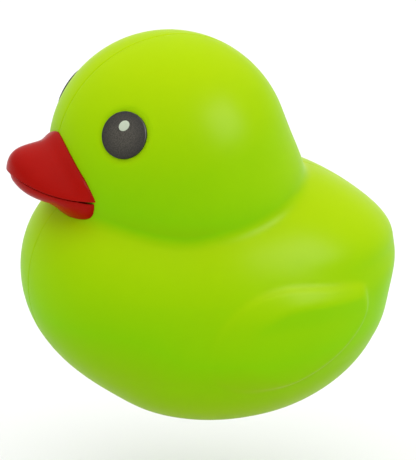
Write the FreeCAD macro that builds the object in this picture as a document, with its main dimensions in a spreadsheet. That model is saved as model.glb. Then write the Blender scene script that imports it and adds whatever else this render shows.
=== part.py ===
import FreeCAD, Part
import math
import os
import Sketcher
from FreeCAD import Placement, Rotation, Vector

# Floating chlorine dispenser in the shape of a duck. Millimetres, +Z up, the duck faces -Y, its left side
# is +X, and the origin is under the middle of its outline at the height of the surface it stands on.

doc = FreeCAD.newDocument("duck_dispenser")

# ------------------------------------------------------------------------------- driving dimensions

SIZES = (
    # the float's skin: five rounded volumes blended into one, and a wing on each side
    ("head_radius", 67.6, "radius of the round head"),
    ("head_y", -19.7, "head centre, fore and aft"),
    ("head_z", 147.1, "head centre, height"),
    ("neck_side", 62.7, "neck, half width"),
    ("neck_reach", 66.0, "neck, half length"),
    ("neck_half_height", 36.0, "neck, half height"),
    ("neck_y", -7.0, "neck centre, fore and aft"),
    ("neck_z", 128.5, "neck centre, height"),
    ("body_side", 89.7, "body, half width"),
    ("body_front", 91.3, "body, reach forward of its centre"),
    ("body_back", 102.1, "body, reach behind its centre"),
    ("body_up", 77.7, "body, reach above its centre"),
    ("body_down", 74.5, "body, reach below its centre before the base is cut flat"),
    ("body_y", 6.3, "body centre, fore and aft"),
    ("body_z", 60.6, "body centre, height"),
    ("body_crown", 2.3, "power of the body's curve above its centre, 2 for an ellipse"),
    ("body_keel", 2.06, "power of the body's curve below its centre"),
    ("body_turn", 50.0, "height over which one power gives way to the other"),
    ("breast_side", 71.9, "breast, half width"),
    ("breast_reach", 55.3, "breast, half length"),
    ("breast_half_height", 60.4, "breast, half height"),
    ("breast_y", -49.3, "breast centre, fore and aft"),
    ("breast_z", 77.4, "breast centre, height"),
    ("tail_side", 52.4, "tail, half width"),
    ("tail_reach", 54.5, "tail, half length"),
    ("tail_half_height", 16.0, "tail, half height"),
    ("tail_y", 53.7, "tail centre, fore and aft"),
    ("tail_z", 86.4, "tail centre, height"),
    ("wing_side", 20.0, "wing, half thickness"),
    ("wing_reach", 50.0, "wing, half length"),
    ("wing_half_height", 30.0, "wing, half height"),
    ("wing_x", 69.5, "wing centre, sideways"),
    ("wing_y", 21.2, "wing centre, fore and aft"),
    ("wing_z", 54.0, "wing centre, height"),
    ("neck_blend", 9.0, "softness of the crease between head and body"),
    ("nape_blend", 16.1, "softness of head into neck"),
    ("tail_blend", 26.6, "softness of tail into body"),
    ("breast_blend", 12.7, "softness of breast into body"),
    ("wing_blend", 14.0, "softness of wing into body"),
    ("base_blend", 3.0, "softness of the flat base's edge"),
    ("wall", 2.5, "moulded wall of the float"),
    # beak, measured from the head's centre
    ("beak_out", 44.0, "beak centre, forward of the head centre"),
    ("bill_side", 38.0, "upper bill, half width"),
    ("bill_reach", 50.3, "upper bill, reach"),
    ("bill_half_height", 25.0, "upper bill, half height"),
    ("bill_up", -4.8, "upper bill centre above the head centre"),
    ("jaw_side", 36.0, "lower bill, half width"),
    ("jaw_reach", 48.0, "lower bill, reach"),
    ("jaw_half_height", 14.5, "lower bill, half height"),
    ("jaw_down", 8.4, "lower bill centre below the head centre"),
    ("mouth_down", 14.4, "mouth line under the head centre, level with the beak centre"),
    ("mouth_tilt", 14.2, "mouth line's slope, down towards the head, degrees"),
    ("beak_peg_radius", 4.0, "pegs that hold the beak"),
    ("beak_peg_length", 9.0, "peg length behind the head's skin"),
    # eyes
    ("eye_radius", 12.9, "eye disc"),
    ("eye_turn", 45.4, "eye direction, round from straight ahead, degrees"),
    ("eye_lift", 25.4, "eye direction, above level, degrees"),
    ("eye_dome_radius", 50.0, "curve of the eye's face"),
    ("eye_proud", 1.3, "height of the eye's face over the head"),
    ("eye_seat", 1.3, "depth of the eye's seat under the skin"),
    ("eye_shank_radius", 2.5, "shank through the wall"),
    ("eye_shank_length", 10.0, "shank length behind the seat"),
    ("clip_radius", 7.0, "push-on clips of eyes and beak"),
    ("clip_thickness", 1.2, "push-on clips of eyes and beak"),
    ("glint_radius", 2.9, "pale inlay in the eye"),
    ("glint_rise", 4.0, "glint above the eye's middle, degrees"),
    # well and canister, about an upright axis
    ("well_y", 7.6, "axis of the well, fore and aft"),
    ("well_radius", 41.3, "bore of the liner"),
    ("liner_wall", 1.8, "liner wall"),
    ("liner_foot", 1.5, "lower end of the liner"),
    ("liner_roof", 67.0, "underside of the liner's roof"),
    ("lip_bore", 43.4, "belly opening"),
    ("flange_radius", 49.5, "outer edge of the gasket and flange"),
    ("lip_thickness", 5.5, "lip of the float"),
    ("gasket_thickness", 1.0, "gasket"),
    ("flange_thickness", 4.0, "flange of the liner"),
    ("screw_circle", 46.6, "radius of the circle of screws"),
    ("screw_count", 4, "screws"),
    ("screw_radius", 1.25, "screw shank"),
    ("screw_head_radius", 2.1, "screw head"),
    ("screw_head_height", 1.8, "screw head"),
    ("screw_sink", 2.6, "depth of the seat under each screw head"),
    ("screw_length", 6.6, "shank under the head"),
    ("ballast_height", 7.0, "ballast ring"),
    ("basket_radius", 40.8, "basket wall, outside"),
    ("basket_wall", 1.6, "basket wall"),
    ("basket_foot", 7.4, "lower end of the basket"),
    ("basket_top", 65.0, "open top of the basket"),
    ("window_width", 3.6, "slots in the basket wall"),
    ("window_count", 18, "slots in the basket wall"),
    ("key_width", 6.0, "ribs that stop the basket turning"),
    ("key_height", 1.0, "ribs that stop the basket turning"),
    ("key_count", 3, "ribs that stop the basket turning"),
    ("ledge_bottom", 14.0, "ledge under the grate"),
    ("ledge_thickness", 2.0, "ledge under the grate"),
    ("ledge_bore", 36.7, "ledge under the grate"),
    ("grate_thickness", 2.4, "grate under the tablets"),
    ("grate_slots", 14, "slots in the grate"),
    ("swivel_bottom", 10.2, "groove in the basket for the swivel ring"),
    ("swivel_height", 1.8, "groove in the basket for the swivel ring"),
    ("cap_face", 2.5, "underside of the cap"),
    ("cap_thickness", 3.0, "disc of the cap"),
    ("cap_radius", 41.0, "rim of the cap"),
    ("rim_top", 7.0, "top of the cap's rim"),
    ("hub_radius", 38.8, "cap's ring inside the basket foot, outside"),
    ("hub_bore", 36.0, "cap's ring inside the basket foot, inside"),
    ("hub_top", 13.6, "top of the cap's ring"),
    ("dome_radius", 16.0, "pocket dome in the cap, outside"),
    ("dome_wall", 1.8, "pocket dome wall"),
    ("dome_top", 14.4, "top of the dome"),
    ("bar_width", 6.0, "finger bar across the pocket"),
    ("vent_width", 3.6, "vent slots"),
    ("vent_inner", 23.0, "inner end of the vent slots"),
    ("vent_outer", 33.4, "outer end of the vent slots"),
    ("vent_count", 12, "vent slots"),
    ("dose_angle", 15.0, "turn of the shutter from open to shut, degrees"),
    ("shutter_radius", 35.2, "shutter, outside"),
    ("shutter_thickness", 2.0, "shutter"),
    ("running_gap", 0.3, "gap between moving pieces"),
    ("tab_inner", 17.8, "finger tab of the shutter, inner side"),
    ("tab_outer", 20.4, "finger tab of the shutter, outer side"),
    ("tab_width", 4.0, "finger tab of the shutter"),
    ("tab_foot", 0.9, "lower end of the finger tab"),
    ("seal_radius", 40.2, "seal ring, middle of its section"),
    ("seal_section", 0.9, "seal ring, radius of its section"),
    ("seal_height", 5.0, "seal ring, height"),
    ("retainer_bottom", 9.6, "snap ring over the shutter"),
    ("retainer_thickness", 1.0, "snap ring over the shutter"),
    ("retainer_floor", 15.3, "snap ring over the shutter, bore"),
)

sheet = doc.addObject("Spreadsheet::Sheet", "sizes")
for row, (alias, number, meaning) in enumerate(SIZES, start=1):
    sheet.set(f"A{row}", alias)
    sheet.set(f"B{row}", str(number))
    sheet.set(f"C{row}", meaning)
    sheet.setAlias(f"B{row}", alias)
doc.recompute()
NUMBERS = {alias: float(sheet.get(alias)) for alias, _, _ in SIZES}


def size(alias):
    """The number in one cell of the sheet."""
    return NUMBERS[alias]


# ------------------------------------------------------------------------------- the duck's skin

def blob_distance(point, centre, reach, power=2.0):
    """Distance of a point from a rounded volume, negative inside, close to true near its surface."""
    shares = [max(abs(p - c) / r, 1e-9) for p, c, r in zip(point, centre, reach)]
    stretch = sum(share ** power for share in shares) ** (1 / power)
    slopes = [(share / stretch) ** (power - 1) / r for share, r in zip(shares, reach)]
    return (stretch - 1) / math.sqrt(sum(slope * slope for slope in slopes))


def blend(first, second, softness):
    """The nearer of two distances, with the corner between them rounded."""
    overlap = max(softness - abs(first - second), 0) / softness
    return min(first, second) - overlap * overlap * softness / 4


def skin_distance(x, y, z):
    """Distance of a point from the duck's skin, negative inside."""
    point = (abs(x), y, z)
    head_reach = (size("head_radius"),) * 3
    head = blob_distance(point, (0, size("head_y"), size("head_z")), head_reach)
    neck = blob_distance(
        point,
        (0, size("neck_y"), size("neck_z")),
        (size("neck_side"), size("neck_reach"), size("neck_half_height")),
    )
    body_reach_y = size("body_front") if y < size("body_y") else size("body_back")
    body_reach_z = size("body_up") if z > size("body_z") else size("body_down")
    body_share = min(max((z - size("body_z")) / size("body_turn") + 0.5, 0), 1)
    body = blob_distance(
        point,
        (0, size("body_y"), size("body_z")),
        (size("body_side"), body_reach_y, body_reach_z),
        size("body_keel") + (size("body_crown") - size("body_keel")) * body_share,
    )
    breast = blob_distance(
        point,
        (0, size("breast_y"), size("breast_z")),
        (size("breast_side"), size("breast_reach"), size("breast_half_height")),
    )
    tail = blob_distance(
        point,
        (0, size("tail_y"), size("tail_z")),
        (size("tail_side"), size("tail_reach"), size("tail_half_height")),
    )
    wing = blob_distance(
        point,
        (size("wing_x"), size("wing_y"), size("wing_z")),
        (size("wing_side"), size("wing_reach"), size("wing_half_height")),
    )
    top = blend(head, neck, size("nape_blend"))
    bottom = blend(body, tail, size("tail_blend"))
    bottom = blend(bottom, breast, size("breast_blend"))
    bottom = blend(bottom, wing, size("wing_blend"))
    duck = blend(top, bottom, size("neck_blend"))
    return -blend(-duck, z, size("base_blend"))


# rings that the skin is lofted through: more of them near the base and near the top of the head
RING_POINTS = 36
RING_COUNT = 40
RING_CROWDING = 0.5
REACH_LIMIT = 160.0
REACH_TOLERANCE = 0.0005


def skin_ring(height, depth):
    """Closed curve round the duck at one height, at a depth under its skin."""
    full_height = size("head_z") + size("head_radius")
    spine_y = size("well_y") + (size("head_y") - size("well_y")) * height / full_height
    points = []
    for step in range(RING_POINTS):
        angle = 2 * math.pi * step / RING_POINTS
        inside = 0.0
        outside = REACH_LIMIT
        while outside - inside > REACH_TOLERANCE:
            reach = (inside + outside) / 2
            x = reach * math.cos(angle)
            y = spine_y + reach * math.sin(angle)
            if skin_distance(x, y, height) < REACH_TOLERANCE - depth:
                inside = reach
            else:
                outside = reach
        points.append(Vector(inside * math.cos(angle), spine_y + inside * math.sin(angle), height))
    curve = Part.BSplineCurve()
    curve.interpolate(Points=points, PeriodicFlag=True, Parameters=list(range(RING_POINTS + 1)))
    return Part.Wire([curve.toShape()])


def skin_solid(name, depth, bottom):
    """The duck's whole form at a depth under its skin, lofted from a flat bottom to the top of its head."""
    top = size("head_z") + size("head_radius") - depth
    sections = []
    for step in range(RING_COUNT):
        share = step / RING_COUNT
        rise = share - RING_CROWDING * math.sin(2 * math.pi * share) / (2 * math.pi)
        sections.append(skin_ring(bottom + (top - bottom) * rise, depth))
    sections.append(Part.Vertex(Vector(0, size("head_y"), top)))
    item = doc.addObject("Part::Feature", name)
    item.Shape = Part.makeLoft(sections, True, False)
    return item


# ------------------------------------------------------------------------------- small helpers

def primitive(kind, name, **links):
    """A Part primitive with its sizes tied to expressions in the sheet."""
    item = doc.addObject("Part::" + kind, name)
    for prop, expression in links.items():
        item.setExpression(prop, expression)
    return item


def cylinder(name, radius, height, base):
    """An upright cylinder on the local axis, from a base height."""
    item = primitive("Cylinder", name, Radius=radius, Height=height)
    item.setExpression("Placement.Base.z", base)
    return item


def block(name, length, width, height, base):
    """A block centred on the local axis, from a base height."""
    item = primitive("Box", name, Length=length, Width=width, Height=height)
    item.setExpression("Placement.Base.x", f"-({length}) / 2")
    item.setExpression("Placement.Base.y", f"-({width}) / 2")
    item.setExpression("Placement.Base.z", base)
    return item


def cut(name, base, tool):
    item = doc.addObject("Part::Cut", name)
    item.Base = base
    item.Tool = tool
    return item


def common(name, base, tool):
    item = doc.addObject("Part::Common", name)
    item.Base = base
    item.Tool = tool
    return item


def fuse(name, pieces):
    item = doc.addObject("Part::MultiFuse", name)
    item.Shapes = pieces
    return item


def group(name, pieces):
    """Separate solids kept in one sub-part."""
    item = doc.addObject("Part::Compound", name)
    item.Links = pieces
    return item


def named(item, label):
    """Gives a finished sub-part its label and puts it on the list that is written out."""
    item.Label = label
    sub_parts.append(item)
    return item


def on_well_axis(item, label):
    """Moves a finished sub-part to the axis of the well and names it."""
    item.setExpression("Placement.Base.y", "sizes.well_y")
    return named(item, label)


def along(direction, distance, centre):
    """Placement that turns something built up +Z to a direction, starting at a distance from a centre."""
    return Placement(centre + direction * distance, Rotation(Vector(0, 0, 1), direction))


def plane(body, role):
    """One of a body's own origin planes or axes."""
    for feature in body.Origin.OriginFeatures:
        if feature.Role == role:
            return feature
    raise ValueError(role)


def sketch_on(body, name, role, level="0"):
    """A sketch on one of the body's own planes, lifted off it by an expression."""
    sketch = body.newObject("Sketcher::SketchObject", name)
    sketch.AttachmentSupport = [(plane(body, role), "")]
    sketch.MapMode = "FlatFace"
    sketch.setExpression("AttachmentOffset.Base.z", level)
    return sketch


def hold(sketch, kind, corner, number, expression):
    """Ties one corner's distance from the sketch's origin to the sheet."""
    if number == 0:
        sketch.addConstraint(Sketcher.Constraint("PointOnObject", corner, 1, -2 if kind == "DistanceX" else -1))
        return
    place = sketch.addConstraint(Sketcher.Constraint(kind, -1, 1, corner, 1, number))
    sketch.renameConstraint(place, f"{kind}_{corner}")
    sketch.setExpression(f".Constraints.{kind}_{corner}", expression)


def outline(sketch, corners):
    """Straight-sided closed outline. Each corner is two expressions: across and up."""
    points = []
    for across, up in corners:
        points.append(Vector(float(sheet.evalExpression(across)), float(sheet.evalExpression(up)), 0))
    count = len(points)
    for index in range(count):
        sketch.addGeometry(Part.LineSegment(points[index], points[(index + 1) % count]), False)
    for index in range(count):
        sketch.addConstraint(Sketcher.Constraint("Coincident", index, 2, (index + 1) % count, 1))
    for index, (across, up) in enumerate(corners):
        hold(sketch, "DistanceX", index, points[index].x, across)
        hold(sketch, "DistanceY", index, points[index].y, up)


def turned(label, corners):
    """A body turned about the upright axis from one outline of radius and height."""
    body = doc.addObject("PartDesign::Body", label)
    sketch = sketch_on(body, label + "_profile", "XZ_Plane")
    outline(sketch, corners)
    turn = body.newObject("PartDesign::Revolution", label + "_turned")
    turn.Profile = sketch
    turn.ReferenceAxis = (sketch, ["V_Axis"])
    turn.Angle = 360
    doc.recompute()
    return body


def tube(label, inner, outer, bottom, top):
    """A plain ring with a square section."""
    return turned(label, ((inner, bottom), (outer, bottom), (outer, top), (inner, top)))


def bar_outline(sketch, inner, outer, width):
    """A rectangle that reaches outward along X, centred on the X axis."""
    low = f"-({width}) / 2"
    high = f"({width}) / 2"
    outline(sketch, ((inner, low), (outer, low), (outer, high), (inner, high)))


def sink(body, name, sketch, depth, upward):
    """Cuts a sketch into the body and checks that it took material away."""
    before = body.Shape.Volume
    pocket = body.newObject("PartDesign::Pocket", name)
    pocket.Profile = sketch
    pocket.setExpression("Length", depth)
    pocket.Reversed = upward
    doc.recompute()
    if body.Shape.Volume >= before:
        raise ValueError(name + " cut nothing")
    return pocket


def raise_pad(body, name, sketch, height):
    """Adds a pad to the body."""
    pad = body.newObject("PartDesign::Pad", name)
    pad.Profile = sketch
    pad.setExpression("Length", height)
    doc.recompute()
    return pad


def repeat_round(body, feature, count, span=360.0):
    """Repeats a feature evenly about the upright axis."""
    pattern = body.newObject("PartDesign::PolarPattern", feature.Name + "_round")
    pattern.Originals = [feature]
    pattern.Axis = (plane(body, "Z_Axis"), [""])
    pattern.Angle = span
    pattern.Occurrences = int(count)
    body.Tip = pattern
    doc.recompute()


sub_parts = []


# ------------------------------------------------------------------------------- float, beak and eyes

def head_centre():
    return Vector(0, size("head_y"), size("head_z"))


def eye_direction(side, extra_lift=0.0):
    """Unit vector from the head's centre to an eye; side is +1 for the left and -1 for the right."""
    turn = math.radians(size("eye_turn"))
    lift = math.radians(size("eye_lift") + extra_lift)
    return Vector(side * math.sin(turn) * math.cos(lift), -math.cos(turn) * math.cos(lift), math.sin(lift))


def peg_direction(lift):
    """Unit vector from the head's centre to a peg of the beak."""
    return Vector(0, -math.cos(math.radians(lift)), math.sin(math.radians(lift)))


def rod(name, radius, length, direction, distance):
    """A round rod on a line through the head's centre, from a distance out from that centre."""
    item = primitive("Cylinder", name, Radius=radius)
    item.Height = length
    item.Placement = along(direction, distance, head_centre())
    return item


def ball(name, radius, centre):
    item = primitive("Sphere", name, Radius=radius)
    item.Placement = Placement(centre, Rotation())
    return item


def eye_seat_ball(name):
    """The round floor of the eye seats, inside the head's wall."""
    return ball(name, "sizes.head_radius - sizes.eye_seat", head_centre())


def eye_face_ball(name, side, extra_radius="0"):
    """The ball that the domed face of an eye is part of."""
    out = size("head_radius") + size("eye_proud") - size("eye_dome_radius")
    return ball(name, f"sizes.eye_dome_radius + {extra_radius}", head_centre() + eye_direction(side) * out)


def make_eye(side, side_name):
    """Domed disc on a shank, with a shallow seat for its glint."""
    disc = rod("eye_disc_" + side_name, "sizes.eye_radius", 12, eye_direction(side), size("head_radius") - 6)
    face = common("eye_face_" + side_name, disc, eye_face_ball("eye_ball_" + side_name, side))
    lens = cut("eye_lens_" + side_name, face, eye_seat_ball("eye_back_" + side_name))
    shank_start = size("head_radius") - size("eye_seat") - size("eye_shank_length")
    shank = rod(
        "eye_shank_" + side_name,
        "sizes.eye_shank_radius",
        size("eye_shank_length") + size("eye_seat"),
        eye_direction(side),
        shank_start,
    )
    whole = fuse("eye_whole_" + side_name, [lens, shank])
    eye = cut("eye_" + side_name + "_cut", whole, glint_rod("glint_seat_" + side_name, side))
    return named(eye, "eye_" + side_name)


def glint_rod(name, side):
    direction = eye_direction(side, size("glint_rise"))
    return rod(name, "sizes.glint_radius", 5, direction, size("head_radius") + 0.1)


def make_glints():
    """The two pale inlays, a little proud of the eyes."""
    glints = []
    for side, side_name in ((1, "left"), (-1, "right")):
        outer_ball = eye_face_ball("glint_ball_" + side_name, side, "0.15")
        glints.append(common("glint_" + side_name, glint_rod("glint_rod_" + side_name, side), outer_ball))
    return named(group("glints", glints), "eye_glints")


def make_clip(name, bore, direction):
    """A push-on clip that grips a shank or peg behind the float's wall."""
    clip_distance = size("head_radius") - size("wall") - size("clip_thickness") - 0.8
    plate = rod(name + "_plate", "sizes.clip_radius", size("clip_thickness"), direction, clip_distance)
    hole = rod(name + "_hole", bore, size("clip_thickness") + 2, direction, clip_distance - 1)
    return cut(name, plate, hole)


def make_clips():
    eye_clips = []
    for side, side_name in ((1, "left"), (-1, "right")):
        eye_clips.append(make_clip("eye_clip_" + side_name, "sizes.eye_shank_radius", eye_direction(side)))
    named(group("eye_clip_pair", eye_clips), "eye_clips")
    beak_clips = []
    for peg_name, lift in BEAK_PEGS:
        beak_clips.append(make_clip(peg_name + "_clip", "sizes.beak_peg_radius", peg_direction(lift)))
    named(group("beak_clip_pair", beak_clips), "beak_clips")


# the pegs of the upper and lower bill, degrees above level from the head's centre
BEAK_PEGS = (("bill", 5.0), ("jaw", -11.0))


def mouth_block(name):
    """A block whose lower face is the mouth line, used to part the bills."""
    item = primitive("Box", name)
    item.Length = 120
    item.Width = 120
    item.Height = 60
    tilt = Rotation(Vector(1, 0, 0), -size("mouth_tilt"))
    middle = head_centre() + Vector(0, -size("beak_out"), -size("mouth_down"))
    item.Placement = Placement(middle, tilt).multiply(Placement(Vector(-60, -60, 0), Rotation()))
    return item


def bill_ball(name, side, reach, half_height, rise):
    item = primitive("Ellipsoid", name, Radius1=half_height, Radius2=side, Radius3=reach)
    item.Placement = Placement(head_centre() + Vector(0, -size("beak_out"), rise), Rotation())
    return item


def beak_peg(name, lift):
    reach_in = size("beak_peg_length")
    return rod(name, "sizes.beak_peg_radius", reach_in + 6, peg_direction(lift), size("head_radius") - reach_in)


def make_beak(skin):
    """Upper and lower bill, each seated on the head's skin and held by a peg."""
    bill = bill_ball("bill_ball", "sizes.bill_side", "sizes.bill_reach", "sizes.bill_half_height", size("bill_up"))
    upper = common("bill_over_mouth", bill, mouth_block("mouth_upper"))
    upper = cut("bill_on_skin", upper, skin)
    named(fuse("bill_with_peg", [upper, beak_peg("bill_peg", BEAK_PEGS[0][1])]), "beak_upper")
    jaw = bill_ball("jaw_ball", "sizes.jaw_side", "sizes.jaw_reach", "sizes.jaw_half_height", -size("jaw_down"))
    lower = cut("jaw_under_mouth", jaw, mouth_block("mouth_lower"))
    lower = cut("jaw_on_skin", lower, skin)
    named(fuse("jaw_with_peg", [lower, beak_peg("jaw_peg", BEAK_PEGS[1][1])]), "beak_lower")


def float_cutters():
    """Everything taken out of the moulded float: belly opening, screw holes, eye seats and peg holes."""
    bore = cylinder("belly_bore", "sizes.lip_bore", "sizes.lip_thickness + 4", "-2")
    bore.setExpression("Placement.Base.y", "sizes.well_y")
    cutters = [bore]
    for index in range(int(size("screw_count"))):
        hole = cylinder(f"screw_hole_{index}", "sizes.screw_radius", "sizes.lip_thickness + 4", "-2")
        sink_hole = cylinder(f"screw_seat_{index}", "sizes.screw_head_radius + 0.2", "sizes.screw_sink + 2", "-2")
        for item in (hole, sink_hole):
            set_round(item, index)
            cutters.append(item)
    for side, side_name in ((1, "left"), (-1, "right")):
        disc = rod("seat_disc_" + side_name, "sizes.eye_radius", 12, eye_direction(side), size("head_radius") - 6)
        cutters.append(cut("seat_" + side_name, disc, eye_seat_ball("seat_floor_" + side_name)))
        shank = "sizes.eye_shank_radius"
        cutters.append(rod("shank_hole_" + side_name, shank, 16, eye_direction(side), size("head_radius") - 12))
    for peg_name, lift in BEAK_PEGS:
        cutters.append(beak_peg(peg_name + "_hole", lift))
    return fuse("float_cutters", cutters)


def set_round(item, index):
    """Moves something upright to its place on the circle of screws, about the axis of the well."""
    turn = 360 * (index + 0.5) / size("screw_count")
    item.setExpression("Placement.Base.x", f"sizes.screw_circle * cos({turn})")
    item.setExpression("Placement.Base.y", f"sizes.well_y + sizes.screw_circle * sin({turn})")


def make_float():
    """The two halves of the float, with a thick floor that makes a lip round the belly opening."""
    skin = skin_solid("skin", 0.0, 0.0)
    hollow = skin_solid("hollow", size("wall"), size("lip_thickness"))
    cutters = float_cutters()
    doc.recompute()
    for side_name, start in (("left", 0), ("right", -200)):
        side_room = Part.makeBox(200, 400, 400, Vector(start, -200, 0))
        half = skin.Shape.common(side_room).cut(hollow.Shape).cut(cutters.Shape)
        shell = doc.addObject("Part::Feature", "half_" + side_name)
        shell.Shape = half.Solids[0]
        named(shell, "shell_" + side_name)
    return skin


# ------------------------------------------------------------------------------- well and its fixings

def make_liner():
    """Closed-top well with a flange, key grooves and blind holes for the screws."""
    liner = turned("well_liner", (
        ("0", "sizes.liner_roof"),
        ("sizes.well_radius", "sizes.liner_roof"),
        ("sizes.well_radius", "sizes.liner_foot"),
        ("sizes.well_radius + sizes.liner_wall", "sizes.liner_foot"),
        ("sizes.well_radius + sizes.liner_wall", "sizes.lip_thickness + sizes.gasket_thickness"),
        ("sizes.flange_radius", "sizes.lip_thickness + sizes.gasket_thickness"),
        ("sizes.flange_radius", "sizes.lip_thickness + sizes.gasket_thickness + sizes.flange_thickness"),
        (
            "sizes.well_radius + sizes.liner_wall",
            "sizes.lip_thickness + sizes.gasket_thickness + sizes.flange_thickness",
        ),
        ("sizes.well_radius + sizes.liner_wall", "sizes.liner_roof + sizes.liner_wall"),
        ("0", "sizes.liner_roof + sizes.liner_wall"),
    ))
    groove = sketch_on(liner, "key_groove_outline", "XY_Plane", "sizes.liner_foot - 1")
    bar_outline(groove, "sizes.well_radius - 1", "sizes.basket_radius + sizes.key_height + 0.5", "sizes.key_width + 1")
    grooves = sink(liner, "key_groove", groove, "sizes.liner_roof - sizes.liner_foot", True)
    repeat_round(liner, grooves, size("key_count"))
    hole = sketch_on(liner, "pilot_outline", "XY_Plane", "sizes.lip_thickness + sizes.gasket_thickness")
    circle_at(hole, "sizes.screw_circle", "sizes.screw_radius")
    holes = sink(liner, "pilot_hole", hole, "sizes.flange_thickness - 1", True)
    repeat_round(liner, holes, size("screw_count"))
    turn_half_step(liner)
    return on_well_axis(liner, "well_liner")


def circle_at(sketch, reach, radius):
    """A circle on the sketch's X axis."""
    centre = Vector(float(sheet.evalExpression(reach)), 0, 0)
    sketch.addGeometry(Part.Circle(centre, Vector(0, 0, 1), float(sheet.evalExpression(radius))), False)
    sketch.addConstraint(Sketcher.Constraint("PointOnObject", 0, 3, -1))
    for kind, ends, number, expression in (
        ("DistanceX", (-1, 1, 0, 3), centre.x, reach),
        ("Radius", (0,), size("screw_radius"), radius),
    ):
        place = sketch.addConstraint(Sketcher.Constraint(kind, *ends, number))
        sketch.renameConstraint(place, kind)
        sketch.setExpression(".Constraints." + kind, expression)


def turn_half_step(item):
    """Turns a sub-part by half the angle between screws, so that none sits on the seam of the float."""
    item.Placement = Placement(Vector(0, 0, 0), Rotation(Vector(0, 0, 1), 180 / size("screw_count")))


def make_gasket():
    """Flat rubber ring with a hole for each screw."""
    gasket = tube(
        "well_gasket",
        "sizes.lip_bore + 0.6",
        "sizes.flange_radius",
        "sizes.lip_thickness",
        "sizes.lip_thickness + sizes.gasket_thickness",
    )
    hole = sketch_on(gasket, "gasket_hole_outline", "XY_Plane", "sizes.lip_thickness - 1")
    circle_at(hole, "sizes.screw_circle", "sizes.screw_radius")
    holes = sink(gasket, "gasket_hole", hole, "sizes.gasket_thickness + 2", True)
    repeat_round(gasket, holes, size("screw_count"))
    turn_half_step(gasket)
    return on_well_axis(gasket, "well_gasket")


def make_screws():
    """Self-tapping screws with slotted heads, driven up through the lip into the flange."""
    screws = []
    for index in range(int(size("screw_count"))):
        name = f"well_screw_{index}"
        head_base = "sizes.screw_sink - sizes.screw_head_height"
        head = cylinder(name + "_head", "sizes.screw_head_radius", "sizes.screw_head_height", head_base)
        shank = cylinder(name + "_shank", "sizes.screw_radius", "sizes.screw_length", "sizes.screw_sink - 0.2")
        slot = block(name + "_slot", "sizes.screw_head_radius * 3", "0.8", "0.9", head_base + " - 0.1")
        screw = cut(name, fuse(name + "_solid", [head, shank]), slot)
        set_round(screw, index)
        screws.append(screw)
    return named(group("well_screw_set", screws), "well_screws")


def make_ballast():
    """Iron ring that lies on the flange round the liner."""
    base = "sizes.lip_thickness + sizes.gasket_thickness + sizes.flange_thickness"
    ballast = tube(
        "ballast_ring",
        "sizes.well_radius + sizes.liner_wall + 0.4",
        "sizes.flange_radius + 4",
        base,
        base + " + sizes.ballast_height",
    )
    ring = ballast.Tip
    edges = ballast.newObject("PartDesign::Chamfer", "ballast_edges")
    edges.Base = (ring, round_edges(ring))
    edges.Size = 1.0
    doc.recompute()
    return on_well_axis(ballast, "ballast_ring")


def round_edges(feature):
    """Names of a feature's circular edges."""
    names = []
    for index, edge in enumerate(feature.Shape.Edges, start=1):
        if hasattr(edge.Curve, "Radius"):
            names.append(f"Edge{index}")
    return names


# ------------------------------------------------------------------------------- tablet canister

def make_basket():
    """Open-top canister with slots, key ribs, a ledge for the grate and a groove for the swivel ring."""
    bore = "sizes.basket_radius - sizes.basket_wall"
    swivel_top = "sizes.swivel_bottom + sizes.swivel_height"
    basket = turned("tablet_basket", (
        (bore, "sizes.basket_foot"),
        ("sizes.basket_radius", "sizes.basket_foot"),
        ("sizes.basket_radius", "sizes.basket_top"),
        (bore, "sizes.basket_top"),
        (bore, "sizes.ledge_bottom + sizes.ledge_thickness"),
        ("sizes.ledge_bore", "sizes.ledge_bottom + sizes.ledge_thickness"),
        ("sizes.ledge_bore", "sizes.ledge_bottom"),
        (bore, "sizes.ledge_bottom"),
        (bore, swivel_top),
        (bore + " + 0.8", swivel_top),
        (bore + " + 0.8", "sizes.swivel_bottom"),
        (bore, "sizes.swivel_bottom"),
    ))
    window = sketch_on(basket, "window_outline", "XZ_Plane")
    half = "sizes.window_width / 2"
    low = "sizes.ledge_bottom + 6"
    high = "sizes.basket_top - 6"
    outline(window, (("-" + half, low), (half, low), (half, high), ("-" + half, high)))
    windows = sink(basket, "window", window, "sizes.basket_radius + 2", False)
    repeat_round(basket, windows, size("window_count"))
    key = sketch_on(basket, "key_outline", "XY_Plane", "sizes.ledge_bottom + 6")
    bar_outline(key, "sizes.basket_radius - 1", "sizes.basket_radius + sizes.key_height", "sizes.key_width")
    keys = raise_pad(basket, "key", key, "sizes.basket_top - sizes.ledge_bottom - 12")
    repeat_round(basket, keys, size("key_count"))
    turn_half_step(basket)
    return on_well_axis(basket, "tablet_basket")


def make_grate():
    """Slotted disc that lies on the basket's ledge."""
    grate = turned("tablet_grate", (
        ("0", "sizes.ledge_bottom + sizes.ledge_thickness"),
        ("sizes.basket_radius - sizes.basket_wall - 0.2", "sizes.ledge_bottom + sizes.ledge_thickness"),
        (
            "sizes.basket_radius - sizes.basket_wall - 0.2",
            "sizes.ledge_bottom + sizes.ledge_thickness + sizes.grate_thickness",
        ),
        ("0", "sizes.ledge_bottom + sizes.ledge_thickness + sizes.grate_thickness"),
    ))
    slot = sketch_on(grate, "grate_slot_outline", "XY_Plane", "sizes.ledge_bottom")
    bar_outline(slot, "sizes.dome_radius - 2", "sizes.ledge_bore - 3", "sizes.vent_width")
    slots = sink(grate, "grate_slot", slot, "sizes.ledge_thickness + sizes.grate_thickness + 1", True)
    repeat_round(grate, slots, size("grate_slots"))
    return on_well_axis(grate, "tablet_grate")


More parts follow.
